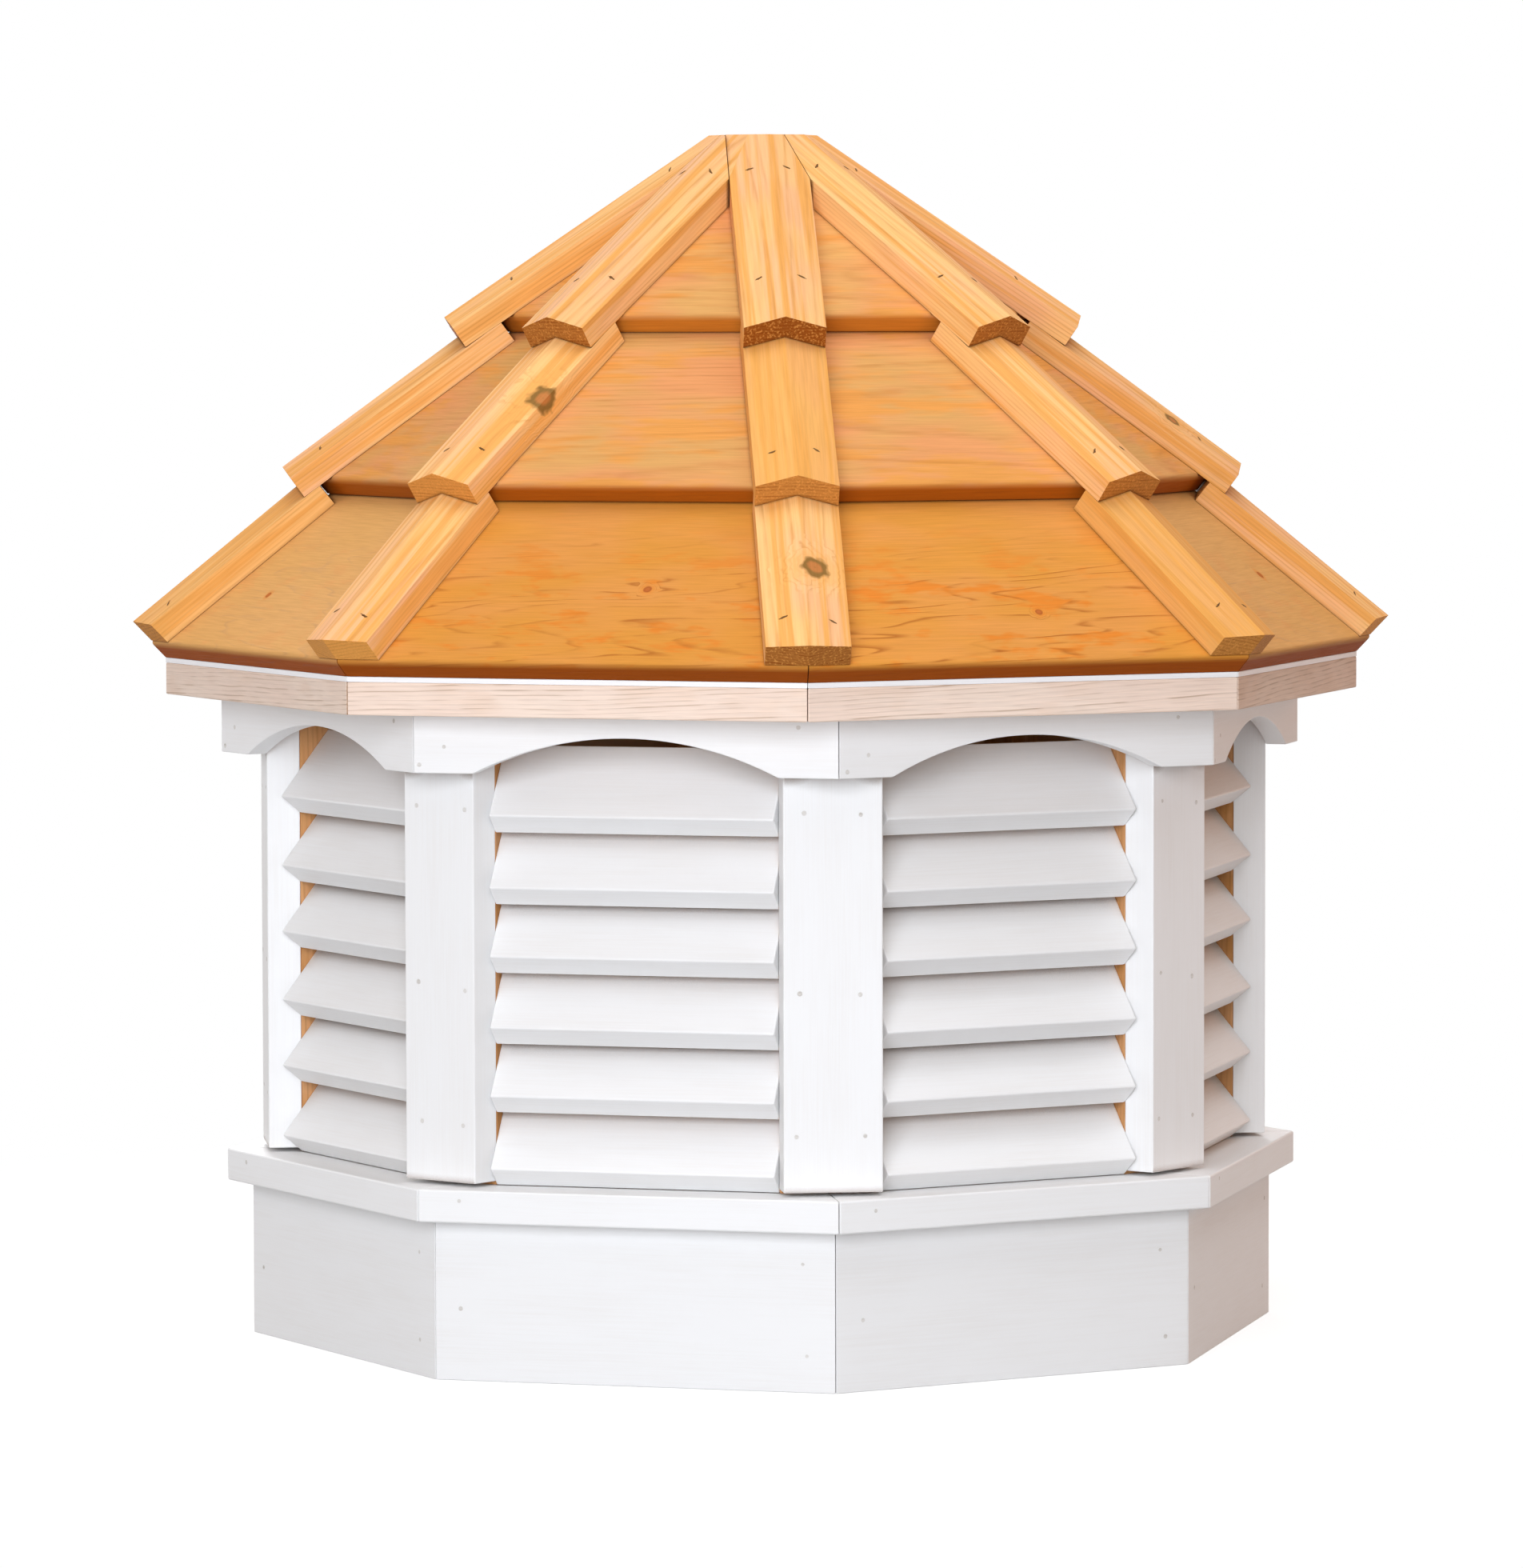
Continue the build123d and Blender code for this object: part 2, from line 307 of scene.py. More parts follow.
@dataclass(frozen=True)
class Knot:
    """A knot in a board: where its heart meets the surface, and how large it is.

    Attributes:
        centre: The heart, in metres.
        radius: Radius of its dark part.
        heart: Colour of its middle.
        rim: Colour of the bark and resin round it.
    """

    centre: Vector
    radius: float
    heart: str = "B8743C"
    rim: str = "8A6430"


@dataclass(frozen=True)
class Timber:
    """A sawn and planed softwood, with growth rings about a pith, fibre, patches and end grain.

    Attributes:
        name: The wood and its part in the work.
        spring: Pale wood between the rings.
        blush: The pinker or paler wood that it drifts to.
        summer: Darker line at the end of each year's growth.
        patch: Colour of the richer patches or bands.
        sawn_end: End grain, which takes up more oil and weather.
        sawn_edge: The long narrow faces.
        ring: Width of a year's growth.
        line: Share of that width that the summer line takes.
        contrast: How strongly the summer lines show.
        wander: How far the rings stray from straight.
        stray_length: How far along the board they go before they turn.
        stray_width: The same across the board.
        pith_depth: How far below the face the pith may lie.
        tilt: Lean of the pith to the board's length, which draws the arched figure.
        patch_length: Length of a patch along the board.
        patch_width: Its width across the board.
        patchiness: How much of the face the patches take.
        fleck: How broken the summer lines are.
        figure_reach: How far across from the outer corner the arched lines and patches go.
        worn: Depth over which a sawn edge lightens to its rounded top.
        odd_tone: Colour that some of the boards lean to, or nothing.
        joint_dirt_and_shade: Colour of the oil, dirt and painted shade in the corners between boards,
            or nothing.
        tone_spread: Difference in tone from board to board.
        roughness: Of the clear wood.
        seed: Makes this wood's boards unlike another's.
    """

    name: str
    spring: str
    blush: str
    summer: str
    patch: str
    sawn_end: str
    sawn_edge: str
    ring: float = 4 * MM
    line: float = 0.5
    contrast: float = 0.5
    wander: float = 4 * MM
    stray_length: float = 200 * MM
    stray_width: float = 60 * MM
    pith_depth: float = 40 * MM
    tilt: float = 0.04
    patch_length: float = 90 * MM
    patch_width: float = 40 * MM
    patchiness: float = 0.4
    fleck: float = 0.3
    figure_reach: float = 10.0
    worn: float = 0.1 * MM
    odd_tone: str = ""
    joint_dirt_and_shade: str = ""
    tone_spread: float = 0.05
    roughness: float = 0.68
    seed: float = 0.0

    def material(self, space: BoardSpace, knots: tuple[Knot, ...] = ()) -> bpy.types.Material:
        """Build this wood's material for boards that lie in a given way.

        Args:
            space: How the boards lie.
            knots: The knots that show.

        Returns:
            The material.
        """
        made, tree, shader = new_material(self.name)
        board = space.board(tree, self.seed)
        near = [self._nearness(tree, knot) for knot in knots]
        spans = add_node(tree, "SeparateXYZ", [board.point]).outputs
        figured = add_node(
            tree, "MapRange", [spans["Y"], -1.35 * self.figure_reach, -0.75 * self.figure_reach, 0.12]
        )
        summer = self._summer_lines(board, near)
        summer = add_node(tree, "Math", [summer, figured], operation="MULTIPLY")
        wood = self._clear_wood(board, summer, figured)
        wood = self._sawn_faces(board, wood, summer)
        for knot, distance in zip(knots, near):
            wood = self._knotted(tree, wood, knot, distance)
        if self.joint_dirt_and_shade:
            # Painted shade with oil and dirt: a dark line 1 to 2 mm wide, where a board's face runs
            # into another board.
            wood = ShadeAndDirt(self.joint_dirt_and_shade, 3.5 * MM, 0.85, 0.5, 0.8).lay(tree, wood)
        # Fibres about 1.5 mm apart and 40 mm long, drawn a little coarse so that they show.
        fibre = board.streaks(25.0, 650.0, detail=3.0)
        bright = add_node(tree, "MapRange", [fibre, 0.3, 0.7, 0.93, 1.05])
        tone = add_node(
            tree, "MapRange",
            {
                "Value": add_node(tree, "SeparateColor", [board.chance]).outputs["Blue"],
                "To Min": 1 - self.tone_spread, "To Max": 1 + self.tone_spread,
            },
        )
        bright = add_node(tree, "Math", [bright, tone], operation="MULTIPLY")
        colour = add_node(tree, "HueSaturation", {"Color": wood, "Value": bright})
        relief = add_node(tree, "Math", [fibre, summer], operation="ADD")
        bump = add_node(tree, "Bump", {"Height": relief, "Strength": 0.5, "Distance": 0.25 * MM})
        sheen = add_node(
            tree, "MapRange",
            {"Value": relief, "To Min": self.roughness + 0.08, "To Max": self.roughness - 0.1},
        )
        connect(tree, shader, {"Base Color": colour, "Roughness": sheen, "Normal": bump})
        shader.inputs["IOR"].default_value = WOOD_IOR
        shader.inputs["Specular IOR Level"].default_value = 0.1
        return made

    def _summer_lines(self, board: Board, near: list[Node]) -> Node:
        """Add the dark lines of the growth rings.

        Args:
            board: The board.
            near: Distance from each knot, in its radii.

        Returns:
            How dark the line is, from 0 to the wood's contrast.
        """
        tree = board.tree
        stray = board.streaks(1 / self.stray_length, 1 / self.stray_width, detail=2.0)
        span = 2 * self.wander
        strayed = add_node(
            tree, "VectorMath",
            [stray.outputs["Color"], (0.0, span, span), board.point],
            operation="MULTIPLY_ADD",
        )
        leans = (0.0, self.tilt, self.tilt / 3)
        lean = add_node(tree, "Mapping", {"Vector": strayed, "Rotation": leans})
        reach = self.pith_depth
        heart = add_node(
            tree, "VectorMath",
            [board.chance, (0.0, 1.4 * reach, -0.8 * reach), (0.0, -0.7 * reach, -0.6 * reach)],
            operation="MULTIPLY_ADD",
        )
        away = add_node(tree, "VectorMath", [lean, heart], operation="SUBTRACT")
        square = add_node(tree, "VectorMath", [away, (0.0, 1.0, 1.0)], operation="MULTIPLY")
        radius = add_node(tree, "VectorMath", [square], operation="LENGTH").outputs["Value"]
        years = add_node(tree, "Math", [radius, self.ring], operation="DIVIDE")
        for distance in near:
            # The rings swell round a knot.
            swell = add_node(
                tree, "MapRange", [distance, 3.2, 0.4, 0.0, 2.6], interpolation_type="SMOOTHSTEP"
            )
            years = add_node(tree, "Math", [years, swell], operation="ADD")
        season = add_node(tree, "Math", [years], operation="FRACT")
        start = 1 - self.line
        stops = [(0.0, 0.0), (start, 0.06), (start + 0.68 * self.line, 1.0), (1.0, 0.0)]
        line = set_stops(add_node(tree, "ValToRGB", [season]), stops)
        year = add_node(tree, "Math", [years], operation="FLOOR")
        strength = add_node(tree, "TexWhiteNoise", {"W": year}, noise_dimensions="1D").outputs["Value"]
        strength = add_node(tree, "MapRange", {"Value": strength, "To Min": 0.3})
        # The lines break about every 4 cm.
        fleck = board.streaks(26.0, 120.0, detail=1.0)
        broken = add_node(tree, "MapRange", [fleck, 0.44, 0.58, 1 - self.fleck])
        for factor in (strength, broken, self.contrast):
            line = add_node(tree, "Math", [line, factor], operation="MULTIPLY")
        return line

    def _clear_wood(self, board: Board, summer: Node, figured: Node) -> Node:
        """Add the colour of the face: pale wood, its drift, richer patches and the rings.

        Args:
            board: The board.
            summer: The dark lines.
            figured: How fully the patches show here.

        Returns:
            The colour.
        """
        tree = board.tree
        # The tone drifts over 6 to 12 cm.
        drift = board.streaks(8.0, 17.0, detail=2.0)
        drifted = add_node(tree, "MapRange", [drift, 0.4, 0.62])
        wood = add_node(tree, "MixRGB", [drifted, self.spring, self.blush])
        patch = board.streaks(1 / self.patch_length, 1 / self.patch_width, detail=3.0, Roughness=0.6)
        middle = 0.68 - 0.34 * self.patchiness
        patched = add_node(tree, "MapRange", [patch, middle - 0.06, middle + 0.06])
        patched = add_node(tree, "Math", [patched, figured], operation="MULTIPLY")
        wood = add_node(tree, "MixRGB", [patched, wood, self.patch])
        wood = add_node(tree, "MixRGB", [summer, wood, self.summer])
        if self.odd_tone:
            draw = add_node(tree, "SeparateColor", [board.chance]).outputs["Red"]
            odd = add_node(tree, "MapRange", [draw, 0.45, 0.65, 0.0, 0.68])
            wood = add_node(tree, "MixRGB", [odd, wood, self.odd_tone])
        return wood

    def _sawn_faces(self, board: Board, wood: Node, summer: Node) -> Node:
        """Turn the colour to end grain on the ends and to the sawn edge on the long edges.

        Args:
            board: The board.
            wood: The face's colour.
            summer: The dark lines.

        Returns:
            The colour.
        """
        tree = board.tree
        outward = add_node(tree, "VectorMath", [board.facing], operation="ABSOLUTE")
        faces = add_node(tree, "SeparateXYZ", [outward]).outputs
        spans = add_node(tree, "SeparateXYZ", [board.point]).outputs
        on_edge = add_node(tree, "MapRange", [faces["Y"], 0.6, 0.9])
        below = add_node(tree, "MapRange", [spans["Z"], 0.0, -self.worn])
        on_edge = add_node(tree, "Math", [on_edge, below], operation="MULTIPLY")
        on_end = add_node(tree, "MapRange", [faces["X"], 0.55, 0.8])
        lined = add_node(tree, "Math", [summer, 0.5], operation="MULTIPLY")
        # The ends have taken up more or less oil and weather from board to board.
        draw = add_node(tree, "SeparateColor", [board.chance]).outputs["Green"]
        soaked = add_node(tree, "MapRange", [draw, 0.15, 0.9, 0.1, 0.95])
        stain = add_node(tree, "Math", [summer, 0.8, soaked], operation="MULTIPLY_ADD", use_clamp=True)
        # Torn fibres about 1.5 mm wide catch the light on the sawn ends.
        place = add_node(tree, "TexCoord").outputs["Object"]
        torn = add_node(tree, "TexNoise", {"Vector": place, "Scale": 480.0, "Detail": 2.0})
        raised = add_node(tree, "MapRange", [torn, 0.52, 0.66, 1.0, 0.45])
        stain = add_node(tree, "Math", [stain, raised], operation="MULTIPLY")
        for face, dark in ((on_edge, lined), (on_end, stain)):
            sawn = add_node(tree, "MixRGB", [dark, self.sawn_edge, self.sawn_end])
            wood = add_node(tree, "MixRGB", [face, wood, sawn])
        return wood

    @staticmethod
    def _nearness(tree: Tree, knot: Knot) -> Node:
        """Add the distance from a knot's heart, in its radii, a little uneven.

        Args:
            tree: The material's tree.
            knot: The knot.

        Returns:
            The distance.
        """
        place = add_node(tree, "TexCoord").outputs["Object"]
        away = add_node(tree, "VectorMath", [place, tuple(knot.centre)], operation="DISTANCE")
        rough = add_node(tree, "TexNoise", {"Vector": place, "Scale": 120.0, "Detail": 1.0})
        uneven = add_node(
            tree, "MapRange", {"Value": rough, "To Min": 0.6 / knot.radius, "To Max": 1.4 / knot.radius}
        )
        return add_node(tree, "Math", [away.outputs["Value"], uneven], operation="MULTIPLY")

    def _knotted(self, tree: Tree, wood: Node, knot: Knot, distance: Node) -> Node:
        """Lay a knot over the wood, with richer wood round it.

        Args:
            tree: The material's tree.
            wood: The clear wood's colour.
            knot: The knot.
            distance: From its heart, in its radii.

        Returns:
            The colour with the knot in it.
        """
        round_it = add_node(
            tree, "MapRange", [distance, 2.4, 1.1, 0.0, 0.45], interpolation_type="SMOOTHSTEP"
        )
        wood = add_node(tree, "MixRGB", [round_it, wood, self.patch])
        inside = set_stops(
            add_node(tree, "ValToRGB", [distance]),
            [(0.0, knot.rim), (0.12, knot.heart), (0.4, knot.heart), (0.64, knot.rim), (1.0, knot.rim)],
        )
        within = add_node(tree, "MapRange", [distance, 1.15, 0.85])
        return add_node(tree, "MixRGB", [within, wood, inside])


@dataclass(frozen=True)
class Paint:
    """A brushed exterior paint over sawn and planed wood.

    Attributes:
        name: The coat.
        coat: Its colour.
        thin: Its colour where the brush left it thin.
        bare: Colour of the faces left unpainted inside, or nothing where the coat goes all round.
        gap_shade: Colour of the painted shade deep between neighbouring boards, or nothing.
        lee_shade: Colour of the painted shade close under another part's edge, or nothing.
        roughness: Of the dry film.
        seed: Makes its boards unlike another coat's.
    """

    name: str
    coat: str
    thin: str
    bare: str = ""
    gap_shade: str = ""
    lee_shade: str = ""
    roughness: float = 0.45
    seed: float = 0.0

    def material(self, space: BoardSpace) -> bpy.types.Material:
        """Build the coat's material for boards that lie in a given way.

        Args:
            space: How the boards lie.

        Returns:
            The material.
        """
        made, tree, shader = new_material(self.name)
        board = space.board(tree, self.seed)
        # Brush marks about 1.5 mm apart run with the board for 6 to 8 cm.
        brush = board.streaks(14.0, 650.0, detail=2.0)
        # The coat is thin in places about 3 by 11 cm.
        cloud = board.streaks(9.0, 30.0, detail=3.0)
        thinness = add_node(tree, "Math", [brush, cloud], operation="MULTIPLY")
        worn = add_node(tree, "MapRange", [thinness, 0.18, 0.42])
        colour = add_node(tree, "MixRGB", [worn, self.coat, self.thin])
        faces = add_node(tree, "SeparateXYZ", [board.facing]).outputs
        if self.bare:
            side = "Y" if space.lie is Lie.ROUND and not space.slope else "Z"
            inside = add_node(tree, "MapRange", [faces[side], -0.5, -0.8])
            colour = add_node(tree, "MixRGB", [inside, colour, self.bare])
        if self.gap_shade:
            # Painted shade: a thin dark line along each gap between the boards, darkest deep in it.
            colour = ShadeAndDirt(self.gap_shade, 18 * MM, 0.55, 0.25, 0.85, own_node=True).lay(tree, colour)
        if self.lee_shade:
            # Painted shade: a soft brown band some 8 mm wide on the front, darkest against the part
            # above.
            front = add_node(tree, "MapRange", [faces["Z"], 0.8, 0.98])
            colour = ShadeAndDirt(self.lee_shade, 10 * MM, 0.95, 0.6, 0.85).lay(tree, colour, front)
        bump = add_node(tree, "Bump", {"Height": brush, "Strength": 0.2, "Distance": 0.1 * MM})
        sheen = add_node(
            tree, "MapRange",
            {"Value": brush, "To Min": self.roughness - 0.03, "To Max": self.roughness + 0.05},
        )
        connect(tree, shader, {"Base Color": colour, "Roughness": sheen, "Normal": bump})
        shader.inputs["IOR"].default_value = WOOD_IOR
        return made


# White acrylic house paint, brushed on: an even, slightly satin white with faint brush marks.
WHITE_PAINT = Paint("white_acrylic_paint", "F0F0F0", "EDECEB", bare="C08D58")
# Prefinished aluminium strip: a smooth cool white edge, brighter than the wood beside it.
STRIP_PAINT = Paint("prefinished_aluminium", "F8F8FA", "F2F2F2", roughness=0.35, seed=50)
# Planed spruce left bare: pale pinkish cream with fine darker lines along the edge.
BARE_SPRUCE = Timber(
    "bare_spruce", spring="F2DECE", blush="F0D9C9", summer="B89A82", patch="EED6C4",
    sawn_end="B08A6C", sawn_edge="F2DECE",
    ring=3.2 * MM, line=0.4, contrast=0.9, wander=4 * MM, pith_depth=90 * MM, patchiness=0.3,
    fleck=0.7, seed=11,
)
# Knotty framing softwood, sawn: orange-tan, coarser and rougher than the planed boards.
FRAMING = Timber(
    "framing_softwood", spring="CF9864", blush="D5A070", summer="9E6A3A", patch="C48B52",
    sawn_end="96602F", sawn_edge="C89058",
    ring=5 * MM, contrast=0.5, wander=5 * MM, roughness=0.75, seed=23,
)
# Western red cedar, flat-sawn and oiled: orange brown with broken arched lines and bright patches.
CEDAR_FLAT = Timber(
    "flat_sawn_cedar", spring="CD8A38", blush="D08C44", summer="98500F", patch="D27C2A",
    sawn_end="6E2E06", sawn_edge="944607",
    ring=5 * MM, line=0.26, contrast=0.85, wander=15 * MM, stray_length=280 * MM, stray_width=32 * MM,
    pith_depth=260 * MM, tilt=0.05,
    patch_length=56 * MM, patch_width=20 * MM, patchiness=0.25, fleck=0.8,
    figure_reach=125 * MM, worn=7 * MM, odd_tone="D2A468", joint_dirt_and_shade="5E2A08", tone_spread=0.07,
    seed=311,
)
# The same cedar sawn nearer the quarter: close straight lines and broad pinkish tan patches.
CEDAR_STRAIGHT = Timber(
    "quarter_sawn_cedar", spring="CE9A5A", blush="D8945E", summer="AC6524", patch="D8944A",
    sawn_end="6E2E06", sawn_edge="A4560F",
    ring=4.2 * MM, line=0.5, contrast=0.45, wander=3 * MM, stray_length=400 * MM, stray_width=90 * MM,
    pith_depth=150 * MM, tilt=0.02,
    patch_length=120 * MM, patch_width=30 * MM, patchiness=0.4, fleck=0.6, worn=7 * MM,
    joint_dirt_and_shade="6A3210", seed=53,
)
# The paler cedar of the top course, whose edges took less oil.
CEDAR_PALE_EDGED = replace(
    CEDAR_STRAIGHT, name="pale_edged_cedar", spring="D4A05E", sawn_edge="C27626", seed=59
)
# Yellow pine, planed and oiled: pale straw in soft bands along the cap, with brown end grain.
YELLOW_PINE = Timber(
    "yellow_pine", spring="F0BC7A", blush="EDB482", summer="C48038", patch="E6A458",
    sawn_end="8C4810", sawn_edge="E8A250",
    ring=3.4 * MM, contrast=0.55, wander=3 * MM, stray_length=350 * MM, stray_width=60 * MM,
    pith_depth=110 * MM, tilt=0.012,
    patch_length=500 * MM, patch_width=11 * MM, patchiness=0.45, fleck=0.4,
    odd_tone="E2A04E", joint_dirt_and_shade="6A3A12", seed=71,
)
# Holes over set nails, filled and painted: a duller and rougher white than the coat round them.
FILLER = Paint("painted_wood_filler", "DCD9D5", "BFB9B2", roughness=0.7, seed=90)
# Wood crushed round a staple, where oil and dirt gather: dark brown.
BRUISE = Timber(
    "crushed_wood", spring="8A5A20", blush="7A4A1C", summer="5A3814", patch="96682C",
    sawn_end="5A3414", sawn_edge="6A3D1A", roughness=0.85, seed=97,
)


def dress(node: bpy.types.Object, finish: bpy.types.Material, eased: float) -> None:
    """Give a solid its finish and ease its sharp edges.

    Args:
        node: The frame's object.
        finish: The material for all of it.
        eased: Radius of the eased edges.
    """
    for slot in node.material_slots:
        slot.material = finish
    if not node.material_slots:
        node.data.materials.append(finish)
    weld = node.modifiers.new("joined", "WELD")
    weld.merge_threshold = SAME_POINT
    flat = node.modifiers.new("flat", "DECIMATE")
    flat.decimate_type = "DISSOLVE"
    flat.angle_limit = SAME_FACE
    ease = node.modifiers.new("eased", "BEVEL")
    ease.width = eased
    ease.segments = 2
    ease.limit_method = "ANGLE"
    ease.angle_limit = SHARP_EDGE
    ease.harden_normals = False
    shade = node.modifiers.new("shade", "WEIGHTED_NORMAL")
    shade.keep_sharp = True


def axes_on_face(bearing: float, radius: float, height: float, slope: float) -> Matrix:
    """Axes on a sloping or upright line or face: anticlockwise across it, up it, and off it.

    Args:
        bearing: Of the line, from the axis.
        radius: Distance of its lower end from the axis.
        height: Of its lower end.
        slope: Its rise towards the axis.

    Returns:
        The matrix from (across, up, off) to the frame.
    """
    out = Vector((cos(bearing), sin(bearing), 0.0))
    top = Vector((0.0, 0.0, 1.0))
    up = top * sin(slope) - out * cos(slope)
    off = top * cos(slope) + out * sin(slope)
    placed = Matrix((Vector((-out.y, out.x, 0.0)), up, off)).transposed().to_4x4()
    placed.translation = out * radius + top * height
    return placed


@dataclass(frozen=True)
class Course:
    """One course of the roof: its top edge and its slope.

    Attributes:
        edge: Apothem of the top edge of its nosing.
        height: Height of that edge.
        slope: Slope of its boards.
    """

    edge: float
    height: float
    slope: float

    @property
    def hip_slope(self) -> float:
        """Slope of the hips between its boards."""
        return atan(tan(self.slope) * cos(HALF_BAY))

    def on_hip(self, hip: int) -> Matrix:
        """Axes on one of its hips, from the nosing: across, up the hip, off it."""
        bearing = ROOF_TURN + HALF_BAY + hip * STEP
        return axes_on_face(bearing, self.edge / cos(HALF_BAY), self.height, self.hip_slope)

    def boards(self) -> BoardSpace:
        """How its boards lie."""
        return BoardSpace(ROOF_TURN, self.slope, Lie.ROUND, (self.edge, self.height))

    def on_board(self, bay: int) -> Matrix:
        """Axes on the middle of one of its boards, from the nosing: across, up the slope, off it."""
        return axes_on_face(ROOF_TURN + bay * STEP, self.edge, self.height, self.slope)


def build_object(
    name: str, shape: bmesh.types.BMesh, finish: bpy.types.Material
) -> bpy.types.Object:
    """Make a smooth-shaded piece of the model from a finished mesh.

    Args:
        name: Of the piece.
        shape: Its mesh, freed afterwards.
        finish: Its material.

    Returns:
        The piece, riding on the body.
    """
    bmesh.ops.recalc_face_normals(shape, faces=shape.faces)
    mesh = bpy.data.meshes.new(name)
    shape.to_mesh(mesh)
    shape.free()
    mesh.shade_smooth()
    mesh.materials.append(finish)
    piece = bpy.data.objects.new(name, mesh)
    bpy.context.collection.objects.link(piece)
    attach(piece, "root")
    LOG.info("%s: %d faces", name, len(mesh.polygons))
    return piece


def add_rings(shape: bmesh.types.BMesh, rings: list[list[Vector]]) -> None:
    """Skin a row of like rings of points and close its ends.

    Args:
        shape: The mesh to add to.
        rings: The rings, all of one length.
    """
    corners = [[shape.verts.new(point) for point in ring] for ring in rings]
    count = len(corners[0])
    for low, high in zip(corners, corners[1:]):
        for place in range(count):
            after = (place + 1) % count
            shape.faces.new((low[place], low[after], high[after], high[place]))
    shape.faces.new(corners[0])
    shape.faces.new(list(reversed(corners[-1])))


def round_turns(count: int) -> list[tuple[float, float]]:
    """Cosine and sine of evenly spaced turns round a circle."""
    return [(cos(2 * pi * turn / count), sin(2 * pi * turn / count)) for turn in range(count)]


@dataclass(frozen=True)
class Nailing:
    """How one kind of board is nailed.

    Attributes:
        first: Bearing of the first board's middle.
        apothem: Of the boards' faces, in millimetres.
        places: Each nail on a board, along and up, in millimetres.
        stray: Most that a nail is off its place, in millimetres.
    """

    first: float
    apothem: float
    places: tuple[tuple[float, float], ...]
    stray: float = 4.0


@dataclass(frozen=True)
class Fastenings:
    """The filled nail holes in the painted boards and the staples in the hip caps.

    Attributes:
        skirt: Nails of each skirt board.
        sill: Nails of each sill board.
        valance: Nails of each valance.
        post: Nails of each corner post.
        dish: Section of a filled hole, as (radius, height) in millimetres from its rim in.
        staple_rows: Course, and the heights of its staples up the cap, in millimetres.
        staple_across: Distance of the staples from the hip, in millimetres.
        staple_turn: Turn of a staple from square to the cap, in degrees.
        cap_ridge: Height of a cap's ridge over the boards.
        cap_fall: Fall from its ridge to its edge.
        half_cap: Half its width.
        crown_length: Length of a staple's crown.
        crown_width: Width of its wire.
        crown: Section along the crown, as (share of half its length, height) in millimetres.
        bruise: Section of the crushed wood, as (share of its reach, height) from its rim in.
    """

    skirt: Nailing = Nailing(0.0, 433.7, ((-155, 63), (154, 107), (152, 29)))
    sill: Nailing = Nailing(0.0, 455.0, ((-151, 160),), 2.0)
    valance: Nailing = Nailing(0.0, 457.67, ((-161, 551), (154, 571), (-183, 534)), 2.5)
    post: Nailing = Nailing(
        HALF_BAY, 457.0, ((-28, 220), (24, 218), (-27, 346), (25, 341), (-26, 497), (27, 494))
    )
    dish: Section = ((2.0, -0.2), (1.9, 0.1), (1.6, 0.16), (1.2, 0.12), (0.8, 0.04))
    staple_rows: tuple[tuple[str, tuple[float, ...]], ...] = (
        ("upper", (31, 205)), ("middle", (24,)), ("lower", (41,)),
    )
    staple_across: float = 19.5
    staple_turn: float = 22.0
    cap_ridge: float = 24.2 * MM
    cap_fall: float = 11.8 * MM
    half_cap: float = 36.15 * MM
    crown_length: float = 6.5 * MM
    crown_width: float = 0.9 * MM
    crown: Section = (
        (-1.0, -0.9), (-0.97, 0.0), (-0.8, 0.3), (0.0, 0.4), (0.8, 0.3), (0.97, 0.0), (1.0, -0.9),
    )
    bruise: Section = ((1.0, -0.15), (0.92, 0.07), (0.5, 0.1))

    def fill_nail_holes(self) -> None:
        """Build the filled holes of every painted board."""
        chance = random.Random(5)
        finish = FILLER.material(BoardSpace(0.0, 0.0, Lie.ROUND))
        for name in ("skirt", "sill", "valance", "post"):
            nailing: Nailing = getattr(self, name)
            shape = bmesh.new()
            for board in range(SIDES):
                bearing = nailing.first + board * STEP
                face = axes_on_face(bearing, nailing.apothem * MM, 0.0, PLUMB)
                for along, up in nailing.places:
                    spot = Vector((
                        (along + chance.uniform(-1, 1) * nailing.stray) * MM,
                        (up + chance.uniform(-1, 1) * nailing.stray) * MM,
                        0.0,
                    ))
                    self.add_dimple(shape, face @ Matrix.Translation(spot), chance.uniform(0.8, 1.1))
            build_object(f"{name}_nail_fills", shape, finish)

    def add_dimple(self, shape: bmesh.types.BMesh, seat: Matrix, size: float) -> None:
        """Add one filled hole: a shallow dish with a low rim.

        Args:
            shape: The mesh to add to.
            seat: Its place on the board.
            size: Its scale.
        """
        rings = [
            [
                seat @ (Vector((radius * size * east, radius * size * north, height)) * MM)
                for east, north in round_turns(14)
            ]
            for radius, height in self.dish
        ]
        add_rings(shape, rings)

    def drive_staples(self, roof: "Roof") -> None:
        """Build the staples and the crushed wood round them.

        Args:
            roof: The roof whose caps they hold.
        """
        chance = random.Random(11)
        crowns = bmesh.new()
        bruises = bmesh.new()
        for name, heights in self.staple_rows:
            course: Course = getattr(roof, name)
            for hip, height, side in product(range(SIDES), heights, (-1, 1)):
                across = side * (self.staple_across + chance.uniform(-4, 4)) * MM
                up = (height + chance.uniform(-6, 6)) * MM
                turn = radians(-side * self.staple_turn + chance.uniform(-16, 16))
                seat = self.on_cap(course.on_hip(hip), across, up) @ Matrix.Rotation(turn, 4, "Z")
                self.add_crown(crowns, seat)
                self.add_bruise(bruises, seat, chance)
        build_object("hip_cap_staples", crowns, StapleSteel().material())
        wood = BRUISE.material(BoardSpace(ROOF_TURN + HALF_BAY, 0.0, Lie.DOWN))
        build_object("staple_bruises", bruises, wood)

